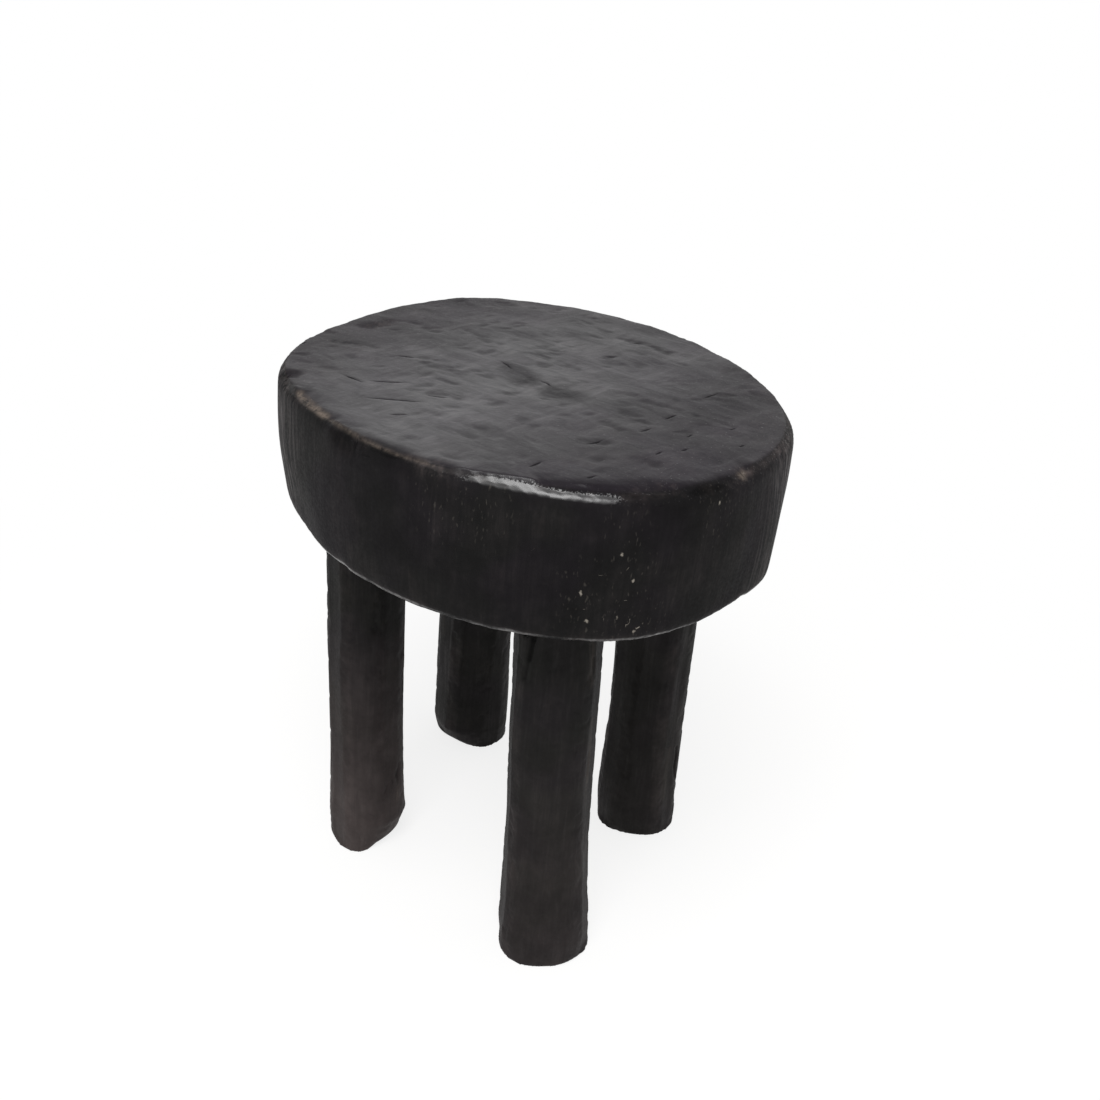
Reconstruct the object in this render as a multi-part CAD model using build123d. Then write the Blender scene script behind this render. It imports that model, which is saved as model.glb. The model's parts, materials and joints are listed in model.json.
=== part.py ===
"""A low hand-carved stool of dark wood: a thick oval seat on four stout round legs.

The seat is one slab with a bevelled rim, gently swelling sides, a rounded lower edge
and four blind round mortises. Each leg is a hewn post with a faceted
section, a thicker ankle and a worn foot, and ends in a round tenon that fills its
mortise. The leg's shoulder seats flat against the underside of the seat.

Frame: +Z up, origin on the floor below the middle of the stool's outline. Bearings
are degrees anticlockwise from +X, seen from above. The front is -Y. Lengths are
millimetres.
"""

import os
from math import cos, pi, radians, sin

from build123d import *

# Whole stool
stool_height = 420.0
seat_thickness = 105.0
seat_radius = 200.0  # mean radius of the rim at its widest

# Seat edges
bevel_depth = 10.3  # height of the bevel between the side and the top face
side_belly = 2.0  # how far the side swells out halfway up
underside_round = 14.0  # height of the rounded edge below the side
seat_edge_steps = 4  # sections that make each rounded edge
seat_side_steps = 6  # sections that make the swelling side

# Legs
leg_ring_radius = 125.0  # from the seat's centre to the middle of a leg
leg_radius = 34.0
foot_wear_height = 19.0  # height over which a foot's rubbed edge runs out
foot_edge_height = 5.0  # the sharpest part of that edge

# Joints between the legs and the seat
tenon_radius = 22.0
tenon_length = 62.0
tenon_root = 8.0  # how far a tenon reaches down into its leg
tenon_chamfer = 3.0
tenon_clearance = 0.15  # radial
mortise_end_gap = 2.0
cut_overrun = 1.0

# Plan outline of the seat at four levels, as shares of seat_radius, anticlockwise from
# +X in even steps. face_shares is the edge of the top face, rim_shares the line below
# the bevel, base_shares the bottom of the side and underside_shares the flat underside.
face_shares = (0.965, 0.915, 0.880, 0.850, 0.850, 0.875, 0.905, 0.960, 1.010, 1.055, 1.015, 0.950,
               0.910, 0.910, 0.905, 0.900, 0.885, 0.890, 0.925, 0.960, 0.980, 1.010, 1.025, 1.000)
rim_shares = (1.000, 0.955, 0.905, 0.880, 0.875, 0.900, 0.935, 0.990, 1.045, 1.090, 1.050, 0.980,
              0.935, 0.930, 0.935, 0.925, 0.905, 0.910, 0.945, 0.980, 1.015, 1.065, 1.085, 1.045)
base_shares = (1.005, 0.930, 0.895, 0.870, 0.875, 0.900, 0.935, 0.990, 1.045, 1.085, 1.050, 0.980,
               0.940, 0.925, 0.915, 0.905, 0.880, 0.905, 0.935, 0.975, 1.020, 1.065, 1.065, 1.040)
underside_shares = (0.940, 0.910, 0.865, 0.830, 0.825, 0.840, 0.875, 0.930, 0.985, 1.025, 0.990, 0.915,
                    0.865, 0.845, 0.835, 0.840, 0.855, 0.855, 0.880, 0.930, 0.990, 1.045, 1.040, 0.980)

# Every leg: the bearings and ring shares place its shoulder and its foot. girth_shares
# are its radius from ankle to shoulder, as shares of leg_radius, and sway_shares how far
# its middle wanders off the straight line, both at level_shares of its length.
# section_shares are the hewn section and foot_shares the worn foot face, anticlockwise
# from +X in even steps. The wear runs out at wear_share of foot_wear_height, and
# edge_share of it is gone at foot_edge_height.
level_shares = (0.20, 0.42, 0.62, 0.82, 1.00)
legs = {
    "leg_front_left": {
        "shoulder_bearing": 221.8, "shoulder_ring_share": 0.985,
        "foot_bearing": 223.0, "foot_ring_share": 0.950,
        "wear_share": 1.5, "edge_share": 0.50,
        "ankle_share": 0.975, "girth_shares": (0.925, 0.915, 0.925, 0.920, 0.910),
        "sway_shares": ((0.00, -0.01), (-0.01, 0.01), (0.00, 0.01), (0.02, 0.00), (0.00, 0.00)),
        "section_shares": (0.985, 1.000, 1.015, 0.990, 1.010, 0.985,
                           1.010, 1.020, 0.980, 1.005, 1.020, 0.970),
        "foot_shares": (0.40, 0.50, 0.80, 0.93, 0.95, 0.94, 0.96, 0.98, 0.91, 0.95, 0.90, 0.55),
    },
    "leg_front_right": {
        "shoulder_bearing": 314.5, "shoulder_ring_share": 1.005,
        "foot_bearing": 318.2, "foot_ring_share": 1.115,
        "wear_share": 1.0, "edge_share": 0.60,
        "ankle_share": 1.080, "girth_shares": (1.010, 0.965, 0.970, 0.965, 0.980),
        "sway_shares": ((-0.02, 0.01), (-0.04, 0.02), (0.01, -0.02), (0.02, 0.02), (0.00, 0.00)),
        "section_shares": (1.010, 0.985, 1.000, 1.015, 0.980, 1.005,
                           1.020, 0.985, 1.010, 1.015, 0.975, 0.990),
        "foot_shares": (0.93, 1.00, 0.97, 0.94, 0.93, 0.91, 0.92, 0.93, 0.99, 0.98, 0.88, 0.88),
    },
    "leg_back_right": {
        "shoulder_bearing": 44.9, "shoulder_ring_share": 0.955,
        "foot_bearing": 43.6, "foot_ring_share": 0.985,
        "wear_share": 0.75, "edge_share": 0.65,
        "ankle_share": 1.035, "girth_shares": (1.015, 0.970, 0.985, 0.970, 0.955),
        "sway_shares": ((-0.03, 0.00), (-0.01, 0.02), (-0.01, -0.01), (0.00, -0.01), (0.00, 0.00)),
        "section_shares": (1.000, 1.015, 0.985, 1.005, 1.015, 0.980,
                           0.995, 1.010, 1.020, 0.985, 0.980, 1.010),
        "foot_shares": (0.99, 1.00, 0.96, 0.94, 0.92, 0.92, 0.93, 0.95, 1.00, 0.91, 0.87, 0.93),
    },
    "leg_back_left": {
        "shoulder_bearing": 139.3, "shoulder_ring_share": 1.073,
        "foot_bearing": 137.6, "foot_ring_share": 1.150,
        "wear_share": 1.0, "edge_share": 0.45,
        "ankle_share": 1.105, "girth_shares": (1.080, 1.055, 1.055, 1.060, 1.050),
        "sway_shares": ((-0.01, 0.02), (0.01, -0.02), (0.02, 0.01), (-0.01, 0.01), (0.00, 0.00)),
        "section_shares": (1.010, 0.990, 1.000, 1.020, 0.985, 1.000,
                           1.015, 0.990, 0.980, 0.995, 1.010, 1.000),
        "foot_shares": (0.94, 0.94, 0.92, 0.93, 0.92, 0.94, 0.94, 0.87, 0.73, 0.66, 0.77, 0.93),
    },
}
underside_height = stool_height - seat_thickness


def ring_point(bearing, ring_share, height):
    """A point above the floor at a bearing and a share of the leg ring's radius."""
    distance = leg_ring_radius * ring_share
    return Vector(distance * cos(radians(bearing)), distance * sin(radians(bearing)), height)


def closed_outline(radii, height, middle=(0, 0)):
    """A smooth closed wire through points at even bearings round a middle."""
    turn = 2 * pi / len(radii)
    points = [
        (middle[0] + radius * cos(turn * step), middle[1] + radius * sin(turn * step), height)
        for step, radius in enumerate(radii)
    ]
    return Wire([Edge.make_spline(points, periodic=True)])


def seat_section(height, lower_shares, upper_shares, rise, swell=0):
    """The seat's outline part of the way from one outline to the one above it."""
    radii = [
        seat_radius * (lower + (upper - lower) * rise) + swell
        for lower, upper in zip(lower_shares, upper_shares)
    ]
    return closed_outline(radii, height)


def seat_blank():
    """The slab before its mortises are cut, from the underside up to the top face."""
    quarter = [pi / 2 * step / seat_edge_steps for step in range(seat_edge_steps + 1)]
    underside_edge = [
        seat_section(
            underside_height + underside_round * (1 - cos(angle)),
            underside_shares, base_shares, sin(angle),
        )
        for angle in quarter
    ]
    side_height = seat_thickness - underside_round - bevel_depth
    side = [
        seat_section(
            underside_height + underside_round + side_height * rise,
            base_shares, rim_shares, rise, side_belly * sin(pi * rise),
        )
        for rise in [step / seat_side_steps for step in range(1, seat_side_steps)]
    ]
    bevel = [
        seat_section(
            stool_height - bevel_depth * (1 - sin(angle)),
            rim_shares, face_shares, 1 - cos(angle),
        )
        for angle in quarter
    ]
    return Solid.make_loft(underside_edge + side + bevel, ruled=True)


def leg_ends(leg):
    """Middle of the foot on the floor and of the shoulder under the seat."""
    foot = ring_point(leg["foot_bearing"], leg["foot_ring_share"], 0)
    shoulder = ring_point(leg["shoulder_bearing"], leg["shoulder_ring_share"], underside_height)
    return foot, shoulder


def leg_post(leg):
    """The hewn post from the worn foot to the shoulder."""
    foot, shoulder = leg_ends(leg)
    ankle_radius = leg_radius * leg["ankle_share"]

    def section(height, radius, shares, sway=(0, 0)):
        along = foot + (shoulder - foot) * (height / underside_height)
        middle = (along.X + leg_radius * sway[0], along.Y + leg_radius * sway[1])
        return closed_outline([radius * share for share in shares], height, middle)

    def part_worn(share):
        return [
            worn + (full - worn) * share
            for worn, full in zip(leg["foot_shares"], leg["section_shares"])
        ]

    ankle = section(foot_wear_height * leg["wear_share"], ankle_radius, leg["section_shares"])
    worn_foot = [
        section(0, ankle_radius, leg["foot_shares"]),
        section(foot_edge_height, ankle_radius, part_worn(leg["edge_share"])),
        ankle,
    ]
    shaft = [ankle]
    for level, girth, sway in zip(level_shares, leg["girth_shares"], leg["sway_shares"]):
        height = underside_height * level
        shaft.append(section(height, leg_radius * girth, leg["section_shares"], sway))
    return Part() + Solid.make_loft(worn_foot, ruled=True) + Solid.make_loft(shaft)


def joint_plane(leg):
    """Plane at the leg's shoulder whose Z runs up along the leg's own axis."""
    foot, shoulder = leg_ends(leg)
    return Plane(origin=shoulder, z_dir=(shoulder - foot).normalized())


def round_bar(plane, radius, start, end):
    """A cylinder along a plane's Z from start to end."""
    bar = Cylinder(radius, end - start, align=(Align.CENTER, Align.CENTER, Align.MIN))
    return plane * Pos(0, 0, start) * bar


def make_leg(leg):
    """Post and tenon as one solid."""
    tenon = round_bar(joint_plane(leg), tenon_radius, -tenon_root, tenon_length)
    tip = tenon.edges().filter_by(GeomType.CIRCLE).sort_by(Axis.Z)[-1]
    return leg_post(leg) + chamfer(tip, tenon_chamfer)


def make_seat():
    """The slab with a blind mortise above each leg."""
    seat = Part() + seat_blank()
    for leg in legs.values():
        seat -= round_bar(
            joint_plane(leg),
            tenon_radius + tenon_clearance,
            -tenon_radius - cut_overrun,
            tenon_length + mortise_end_gap,
        )
    return seat


def main():
    parts = {"seat": make_seat()}
    for name, leg in legs.items():
        parts[name] = make_leg(leg)

    middle = Compound(children=[part.solid() for part in parts.values()]).bounding_box().center()
    to_origin = Pos(-middle.X, -middle.Y, 0)

    os.makedirs("parts", exist_ok=True)
    for name, part in parts.items():
        placed = to_origin * part.solid()
        export_step(placed, f"parts/{name}.step")
        box = placed.bounding_box()
        print(name, "volume", round(placed.volume), "from", box.min, "to", box.max)
    for name, leg in legs.items():
        foot, shoulder = leg_ends(leg)
        print(name, "foot", (to_origin * Pos(*foot)).position)
        print(name, "shoulder", (to_origin * Pos(*shoulder)).position)


main()
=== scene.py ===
"""Looks for a low hand-carved stool: an adzed, blackened seat on four hewn legs, on a pale floor.

Lengths in the tables are millimetres and are turned to metres with mm. Bearings are degrees
anticlockwise from +X, seen from above; the front of the stool is -Y.
"""

import json
from math import cos, pi, radians, sin

import bmesh
import bpy
from bpy.props import FloatProperty, FloatVectorProperty, IntProperty, PointerProperty
from mathutils import Matrix, Vector


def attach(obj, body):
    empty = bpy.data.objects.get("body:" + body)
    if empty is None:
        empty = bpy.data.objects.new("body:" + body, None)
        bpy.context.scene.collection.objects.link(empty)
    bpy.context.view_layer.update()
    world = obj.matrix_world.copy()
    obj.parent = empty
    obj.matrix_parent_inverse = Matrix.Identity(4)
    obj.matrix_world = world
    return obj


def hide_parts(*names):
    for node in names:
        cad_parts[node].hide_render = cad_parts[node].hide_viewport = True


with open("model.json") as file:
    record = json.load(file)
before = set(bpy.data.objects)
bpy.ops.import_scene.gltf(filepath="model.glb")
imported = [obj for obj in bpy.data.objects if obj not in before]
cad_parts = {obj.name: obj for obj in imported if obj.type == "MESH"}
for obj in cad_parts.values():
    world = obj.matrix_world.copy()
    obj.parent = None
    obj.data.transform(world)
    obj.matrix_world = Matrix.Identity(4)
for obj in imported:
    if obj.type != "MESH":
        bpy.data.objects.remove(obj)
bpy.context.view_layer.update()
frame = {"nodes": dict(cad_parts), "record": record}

bl_info = {
    "name": "Hand-carved Stool",
    "version": (1, 0, 0),
    "blender": (4, 5, 0),
    "location": "3D View > Sidebar > Stool",
    "description": "Carves the seat and legs of a blackened stool and sets it on a pale floor",
    "category": "Object",
}

mm = 0.001

seat_top = frame["record"]["mounts"][0]["pos_m"][2]
seat_thickness = 105 * mm
leg_height = seat_top - seat_thickness
bevel_height = 10.3 * mm
finely_meshed = 14 * mm  # of the seat, from its top face down
weld_distance = 0.005 * mm
seed_step = 17.3  # how far one step of the seed moves the patterns
no_flats = -1.0  # a depth so far below 0 that no flat cuts

# The stage: how far the camera sees and where the floor fades to white, in metres.
farthest_seen = 60.0
fade_start, fade_end = 0.3, 0.9
floor_disc_sides = 96
white = (1.0, 1.0, 1.0, 1.0)

# Factors that draw a pattern out where they are under 1. Fibres, pits and flecks run up the
# trunk and strokes along their bearing, and the wax reaches furthest towards the back.
fibre_squeeze = (1.0, 1.0, 0.06)
pit_squeeze = (1.0, 1.0, 0.4)
fleck_squeeze = (1.0, 1.0, 0.55)
stroke_squeeze = (0.25, 1.0, 1.0)
wax_squeeze = (1.5, 0.55, 1.0)
stroke_width = 8 * mm

# Each leg: middle of its foot and of its shoulder in plan, the bearing of its sharpest ridge,
# how far its black is rubbed away towards the foot, which on the back legs is kept low as painted
# shade under the seat, and its gouges and checks: how fine each is, from 0 for the broadest to 4
# for a scratch, and its line as bearings and heights. Its rubs are given likewise.
legs = {
    "leg_front_left": {
        "foot": (-94, -82), "shoulder": (-99, -83), "ridge": 278, "rubbed": 0.85,
        "cuts": (
            (2.1, ((9, 82), (6, 72), (9, 60))), (2.0, ((345, 66), (341, 60))),
            (2.9, ((318, 150), (316, 143))), (2.4, ((296, 22), (302, 8))),
        ),
        "rubs": ((0.5, ((6, 56), (4, 48))), (3.0, ((30, 300), (32, 120)))),
    },
    "leg_front_right": {
        "foot": (97, -94), "shoulder": (81, -90), "ridge": 247, "rubbed": 0.27,
        "cuts": (
            (0.2, ((276, 313), (272, 297))), (0.6, ((272, 297), (268, 281))),
            (1.1, ((268, 281), (264, 266))), (1.6, ((264, 266), (260, 250))),
            (1.0, ((240, 313), (241, 292))), (0.8, ((251, 302), (255, 284))),
            (2.2, ((349, 300), (351, 284))), (1.8, ((352, 268), (353, 258))),
            (2.9, ((308, 199), (306, 194))), (2.2, ((356, 190), (358, 170))),
            (2.9, ((300, 52), (298, 46))),
        ),
        "rubs": (
            (1.0, ((350, 308), (352, 250))), (0.5, ((0, 215), (2, 165))),
            (3.0, ((2, 160), (4, 20))),
        ),
    },
    "leg_back_right": {
        "foot": (82, 84), "shoulder": (77, 84), "ridge": 322, "rubbed": 0.13,
        "cuts": (
            (1.5, ((1, 88), (5, 77), (3, 68), (6, 56))), (2.9, ((296, 205), (294, 198))),
            (2.9, ((350, 150), (352, 120))),
        ),
        "rubs": ((2.5, ((342, 90), (340, 40))),),
    },
    "leg_back_left": {
        "foot": (-113, 96), "shoulder": (-109, 87), "ridge": 268, "rubbed": 0.05,
        "cuts": ((2.2, ((290, 60), (288, 50))), (2.6, ((262, 140), (260, 110)))),
        "rubs": ((3.0, ((240, 280), (242, 120))),),
    },
}
# Bearings of a leg's ridges from its sharpest one, and how deep the flat after each is cut.
ridge_turns = (0, 49, 99, 150, 201, 254, 308, 360)
flat_shares = (0.6, 0.6, 1.0, 0.8, 1.05, 0.9, 1.3)

# Knife and blade cuts in the top face: middle, bearing and length of each.
nicks = (
    (110, -11, 78, 14), (123, -139, 75, 9), (109, -45, 78, 13), (95, -88, 74, 17),
    (135, -76, 83, 8), (145, -60, 74, 7), (136, -35, 87, 8), (152, -2, 78, 7),
    (170, -27, 77, 6), (111, 50, 81, 22), (88, -146, 84, 14), (-130, -130, 84, 8),
    (-173, -70, 70, 7), (-92, -105, -8, 22), (-71, -92, 35, 26), (-44, -118, 33, 40),
    (-28, -92, 26, 15), (-24, -137, 42, 12), (-97, -40, 22, 16), (6, 126, 48, 12),
    (12, 77, 40, 9),
)
# Scoops of the adze round the heart and towards the right: middle, bearing and length of each.
scoops = (
    (-47, -89, 89, 20), (-80, -32, 0, 13), (-59, -43, 0, 34), (-40, -63, 0, 12),
    (-25, -87, 9, 18), (-131, 32, 163, 26), (-108, 67, 94, 26), (-89, 85, 87, 26),
    (-79, 39, 0, 20), (9, -41, 81, 30), (36, -46, 5, 15), (-48, 83, 157, 13),
    (-29, 33, 7, 14), (-10, 21, 24, 11), (0, 32, 168, 16), (11, 78, 83, 12),
    (17, 59, 142, 12), (2, 128, 173, 20), (29, 123, 172, 16), (86, -55, 161, 34),
    (93, -28, 164, 30), (102, 4, 177, 38), (35, -122, 165, 12), (114, 47, 68, 30),
    (95, -89, 36, 12), (137, -96, 3, 12), (-42, -34, 56, 14), (-145, -43, 24, 30),
)
# The drying check through the heart of the trunk, as points in plan.
checks = (
    ((-60, 11), (-50, 7)), ((-42, 3), (-32, -2), (-22, -8)), ((-13, -10), (-3, -14)),
    ((4, -13), (12, -14), (19, -19)), ((27, -24), (36, -26)),
)
# Where soot has gathered on the top face, and darker patches along the rim, which are painted
# shade on the bevel.
soot_and_shade_lines = (
    ((-26, -4, 420), (-14, -12, 420), (-4, -20, 420)), ((26, -24, 420), (38, -26, 420)),
    ((-41, -180, 415), (-25, -185, 413)), ((-131, -130, 414), (-126, -134, 412)),
    ((156, -145, 421), (163, -138, 421), (171, -129, 421), (179, -117, 421),
     (188, -98, 421), (191, -88, 422)),
    ((-64, -176, 422), (-42, -185, 421), (-20, -191, 421), (2, -194, 421), (20, -195, 422)),
)
# Cracks across the bevel and along its foot.
rim_cracks = (
    ((-21, -183, 420), (-19, -187, 414), (-19, -188, 407)),
    ((-16, -188, 409), (-7, -190, 410), (2, -191, 411)),
    ((163, -134, 410), (167, -130, 410), (172, -124, 411)), ((179, -112, 410), (184, -102, 409)),
)
# Stretches of the rim that were knocked away.
knocks = (
    ((-97, -152, 420), (-85, -158, 420), (-70, -165, 420), (-55, -171, 420)),
    ((-32, -184, 415), (-24, -186, 413)),
    ((-10, -187, 419), (10, -189, 419), (30, -189, 419), (48, -187, 419)),
    ((105, -161, 420), (119, -156, 420), (134, -148, 420), (150, -133, 420), (166, -117, 419)),
    ((188, -69, 419), (188, -60, 418)), ((-134, -131, 419), (-127, -128, 420)),
    ((-41, -181, 318), (-36, -183, 318)), ((150, 105, 419), (138, 120, 419)),
    ((-30, 190, 418), (-5, 191, 418)), ((-165, 20, 418), (-168, 2, 419)),
)
# Pale wood laid bare on the rim.
rubs = (
    ((-99, -152, 420), (-88, -158, 420), (-72, -165, 420), (-60, -170, 420)),
    ((-52, -174, 423), (-34, -181, 423), (-12, -186, 423), (12, -189, 423), (40, -189, 423)),
    ((188, -62, 422), (191, -65, 419)), ((-40, 189, 420), (-20, 190, 420)),
)
# Where the bevel is polished by hands, and where dust is caught.
polish = (
    ((62, -194, 422), (72, -188, 418), (80, -183, 416), (89, -179, 415), (100, -175, 414),
     (112, -170, 413), (122, -166, 412), (132, -161, 412), (142, -156, 415), (150, -152, 420)),
)
dust = (
    ((139, -155, 333),), ((154, -143, 335),), ((164, -129, 330),), ((161, -133, 324),),
    ((159, -139, 362),), ((153, -146, 380),), ((135, -159, 353),), ((187, -93, 407),),
    ((188, -61, 419),), ((46, -197, 404),), ((64, -193, 404),), ((82, -188, 404),),
    ((-20, 190, 340),), ((-120, 150, 372),),
)
# The back and both ends of the seat, scuffed along the grain; at both ends their pale streaks
# are also painted sheen of light grazing the side.
scuffs_and_sheen = (
    ((-142, -124, 320), (-138, -130, 400)), ((196, 12, 320), (192, 20, 400)),
    ((160, 95, 320), (155, 105, 400)), ((80, 165, 320), (70, 172, 400)),
    ((-30, 190, 320), (-40, 190, 400)), ((-120, 150, 320), (-130, 145, 400)),
    ((-170, 60, 320), (-166, 55, 400)), ((-175, -30, 320), (-170, -35, 400)),
)


def linear(colour):
    """Linear red, green and blue of an sRGB hex colour."""
    parts = [int(colour[place:place + 2], 16) / 255 for place in (1, 3, 5)]
    return [part / 12.92 if part <= 0.04045 else ((part + 0.055) / 1.055) ** 2.4 for part in parts]


def add(tree, kind, inputs=None, **settings):
    """Adds a node with its settings, and links its inputs or sets their values.

    A key of inputs is a socket's name or its place among the sockets in use.
    """
    node = tree.nodes.new(kind)
    for name, value in settings.items():
        setattr(node, name, value)
    for key, value in (inputs or {}).items():
        used = [socket for socket in node.inputs if socket.enabled]
        socket = used[key] if isinstance(key, int) else next(s for s in used if s.name == key)
        if isinstance(value, bpy.types.Node):
            value = next(output for output in value.outputs if output.enabled)
        if isinstance(value, bpy.types.NodeSocket):
            tree.links.new(value, socket)
        else:
            socket.default_value = value
    return node


def fold(tree, kind, values, **settings):
    """Takes values one after another through a row of like nodes, such as to their product."""
    total, *others = values
    for value in others:
        total = add(tree, kind, {0: total, 1: value}, **settings)
    return total


def emptied_tree(owner):
    """The node tree of a material or world, with nothing in it."""
    owner.use_nodes = True
    owner.node_tree.nodes.clear()
    return owner.node_tree


class StoolCarving(bpy.types.PropertyGroup):
    """Sizes of the tool marks."""

    chip_length: FloatProperty(
        name="Chip Length", default=30 * mm, unit="LENGTH",
        description="Length of a chip that the adze took out of a level face",
    )
    chip_width: FloatProperty(
        name="Chip Width", default=15 * mm, unit="LENGTH",
        description="Width of a chip on a level face",
    )
    chip_depth: FloatProperty(
        name="Chip Depth", default=0.55 * mm, unit="LENGTH",
        description="Depth of the deepest chips",
    )
    scoop_depth: FloatProperty(
        name="Scoop Depth", default=0.65 * mm, unit="LENGTH",
        description="Depth of the placed scoops round the heart",
    )
    dish_depth: FloatProperty(
        name="Dish Depth", default=0.7 * mm, unit="LENGTH",
        description="Depth of the broad bites that the chips sit on",
    )
    chipped_share: FloatProperty(
        name="Chipped Share", default=0.17, subtype="FACTOR", min=0, max=1,
        description="Share of the level faces that still shows chips",
    )
    stroke_bearing: FloatProperty(
        name="Stroke Bearing", default=radians(-8), subtype="ANGLE",
        description="Main direction of the adze's strokes across the seat",
    )
    seat_facet: FloatVectorProperty(
        name="Seat Facets", default=(24 * mm, 80 * mm, 0.45 * mm), subtype="XYZ", unit="LENGTH",
        description="Width, height and depth of the facets round the seat's side",
    )
    leg_facet: FloatVectorProperty(
        name="Leg Facets", default=(14 * mm, 60 * mm, 0.4 * mm), subtype="XYZ", unit="LENGTH",
        description="Width, height and depth of the small facets down a leg",
    )
    leg_flat: FloatProperty(
        name="Leg Flats", default=1.3 * mm, unit="LENGTH",
        description="Depth of the long flats that run the length of a leg",
    )
    bevel_cut: FloatProperty(
        name="Bevel Cut", default=1.5 * mm, unit="LENGTH",
        description="How deep the blade pared the bevel below its rounding",
    )
    knock_depth: FloatProperty(
        name="Knock Depth", default=1.1 * mm, unit="LENGTH",
        description="Depth of the knocks along every edge",
    )
    swell_length: FloatProperty(
        name="Swell Length", default=70 * mm, unit="LENGTH",
        description="Distance between the soft highs and lows of every face",
    )
    swell_depth: FloatProperty(
        name="Swell Depth", default=0.9 * mm, unit="LENGTH",
        description="Depth of those lows",
    )
    seat_cut: FloatVectorProperty(
        name="Seat Cuts", default=(3.2 * mm, 0.6 * mm), size=2, unit="LENGTH",
        description="Width and depth of the blade cuts and checks in the seat",
    )
    leg_cut: FloatVectorProperty(
        name="Leg Cuts", default=(9.0 * mm, 2.6 * mm), size=2, unit="LENGTH",
        description="Width and depth of the gouges and checks in the legs",
    )
    seat_mesh: FloatProperty(
        name="Seat Mesh", default=3.0 * mm, unit="LENGTH",
        description="Mesh size of the seat's side and underside; its top has half of that",
    )
    leg_mesh: FloatProperty(
        name="Leg Mesh", default=1.4 * mm, unit="LENGTH",
        description="Mesh size of the legs",
    )
    seed: IntProperty(name="Seed", default=3, description="Changes where the tool marks fall")


class StoolFinish(bpy.types.PropertyGroup):
    """Colours and gloss of the wood."""

    soot: FloatVectorProperty(
        name="Soot", default=linear("#1c1b1c"), subtype="COLOR", min=0, max=1,
        description="Near-black of the smoked and waxed seat",
    )
    polished_black: FloatVectorProperty(
        name="Polished Black", default=linear("#1d191e"), subtype="COLOR", min=0, max=1,
        description="Faintly purple black under the wax of the top face",
    )
    dry_soot: FloatVectorProperty(
        name="Dry Soot", default=linear("#1f1e1e"), subtype="COLOR", min=0, max=1,
        description="Duller black of the legs",
    )
    bare_wood: FloatVectorProperty(
        name="Bare Wood", default=linear("#47403f"), subtype="COLOR", min=0, max=1,
        description="Brown wood where the black has rubbed thin",
    )
    raw_wood: FloatVectorProperty(
        name="Raw Wood", default=linear("#82766c"), subtype="COLOR", min=0, max=1,
        description="Pale wood where the rim is worn right through",
    )
    dust: FloatVectorProperty(
        name="Dust", default=linear("#a19a90"), subtype="COLOR", min=0, max=1,
        description="Pale flecks caught in pores and dents",
    )
    top_wax: FloatProperty(
        name="Top Wax", default=0.68, subtype="FACTOR", min=0, max=1,
        description="Cover of the hand-polished wax film on the top face",
    )
    wax_middle: FloatVectorProperty(
        name="Wax Middle", default=(-15 * mm, -120 * mm, seat_top), subtype="TRANSLATION",
        unit="LENGTH", description="Where the wax is thickest; it thins away from here",
    )
    bevel_wax: FloatProperty(
        name="Bevel Wax", default=0.36, subtype="FACTOR", min=0, max=1,
        description="Cover of the wax film on the bevel, at the side that hands reach for",
    )
    side_wax: FloatProperty(
        name="Side Wax", default=0.22, subtype="FACTOR", min=0, max=1,
        description="Cover of the wax film on the sides and legs",
    )


class StoolStudio(bpy.types.PropertyGroup):
    """Camera, light and floor."""

    eye: FloatVectorProperty(
        name="Camera Place", default=(0.4225, -0.6883, 0.6830), subtype="TRANSLATION",
        unit="LENGTH", description="Where the camera stands",
    )
    heading: FloatProperty(
        name="Camera Heading", default=radians(30.467), subtype="ANGLE",
        description="Turn of the camera to the left, from looking along +Y",
    )
    dip: FloatProperty(
        name="Camera Dip", default=radians(26.683), subtype="ANGLE",
        description="How far the camera looks down",
    )
    roll: FloatProperty(
        name="Camera Roll", default=radians(5.047), subtype="ANGLE",
        description="Tilt of the camera about its own line of sight",
    )
    focal_length: FloatProperty(
        name="Focal Length", default=37.56, description="In millimetres, for a 36 mm wide sensor",
    )
    lamp_power: FloatProperty(
        name="Lamp Power", default=28.0, unit="POWER", description="Power of the softbox",
    )
    lamp_width: FloatProperty(
        name="Lamp Width", default=1.0, unit="LENGTH", description="Side of the softbox",
    )
    lamp_distance: FloatProperty(
        name="Lamp Distance", default=2.1, unit="LENGTH",
        description="From the seat to the softbox",
    )
    lamp_bearing: FloatProperty(
        name="Lamp Bearing", default=radians(289), subtype="ANGLE",
        description="Bearing of the softbox",
    )
    lamp_height: FloatProperty(
        name="Lamp Height", default=radians(56), subtype="ANGLE",
        description="Height of the softbox above the level of the seat",
    )
    sky: FloatProperty(
        name="Sky", default=0.48, description="Strength of the even light from all round",
    )
    floor_colour: FloatVectorProperty(
        name="Floor", default=linear("#e6e5e3"), subtype="COLOR", min=0, max=1,
        description="Colour of the pale floor",
    )
    floor_width: FloatProperty(
        name="Floor Width", default=14.0, unit="LENGTH", description="Width of the round floor",
    )


def joined_shape(*names):
    """Merged geometry of one or several CAD nodes, free of doubled points."""
    shape = bmesh.new()
    for name in names:
        shape.from_mesh(frame["nodes"][name].data)
    bmesh.ops.remove_doubles(shape, verts=shape.verts, dist=weld_distance)
    return shape


def as_object(shape, name):
    """A new object at the origin that holds the shape."""
    mesh = bpy.data.meshes.new(name)
    shape.to_mesh(mesh)
    shape.free()
    piece = bpy.data.objects.new(name, mesh)
    bpy.context.scene.collection.objects.link(piece)
    return piece


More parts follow.
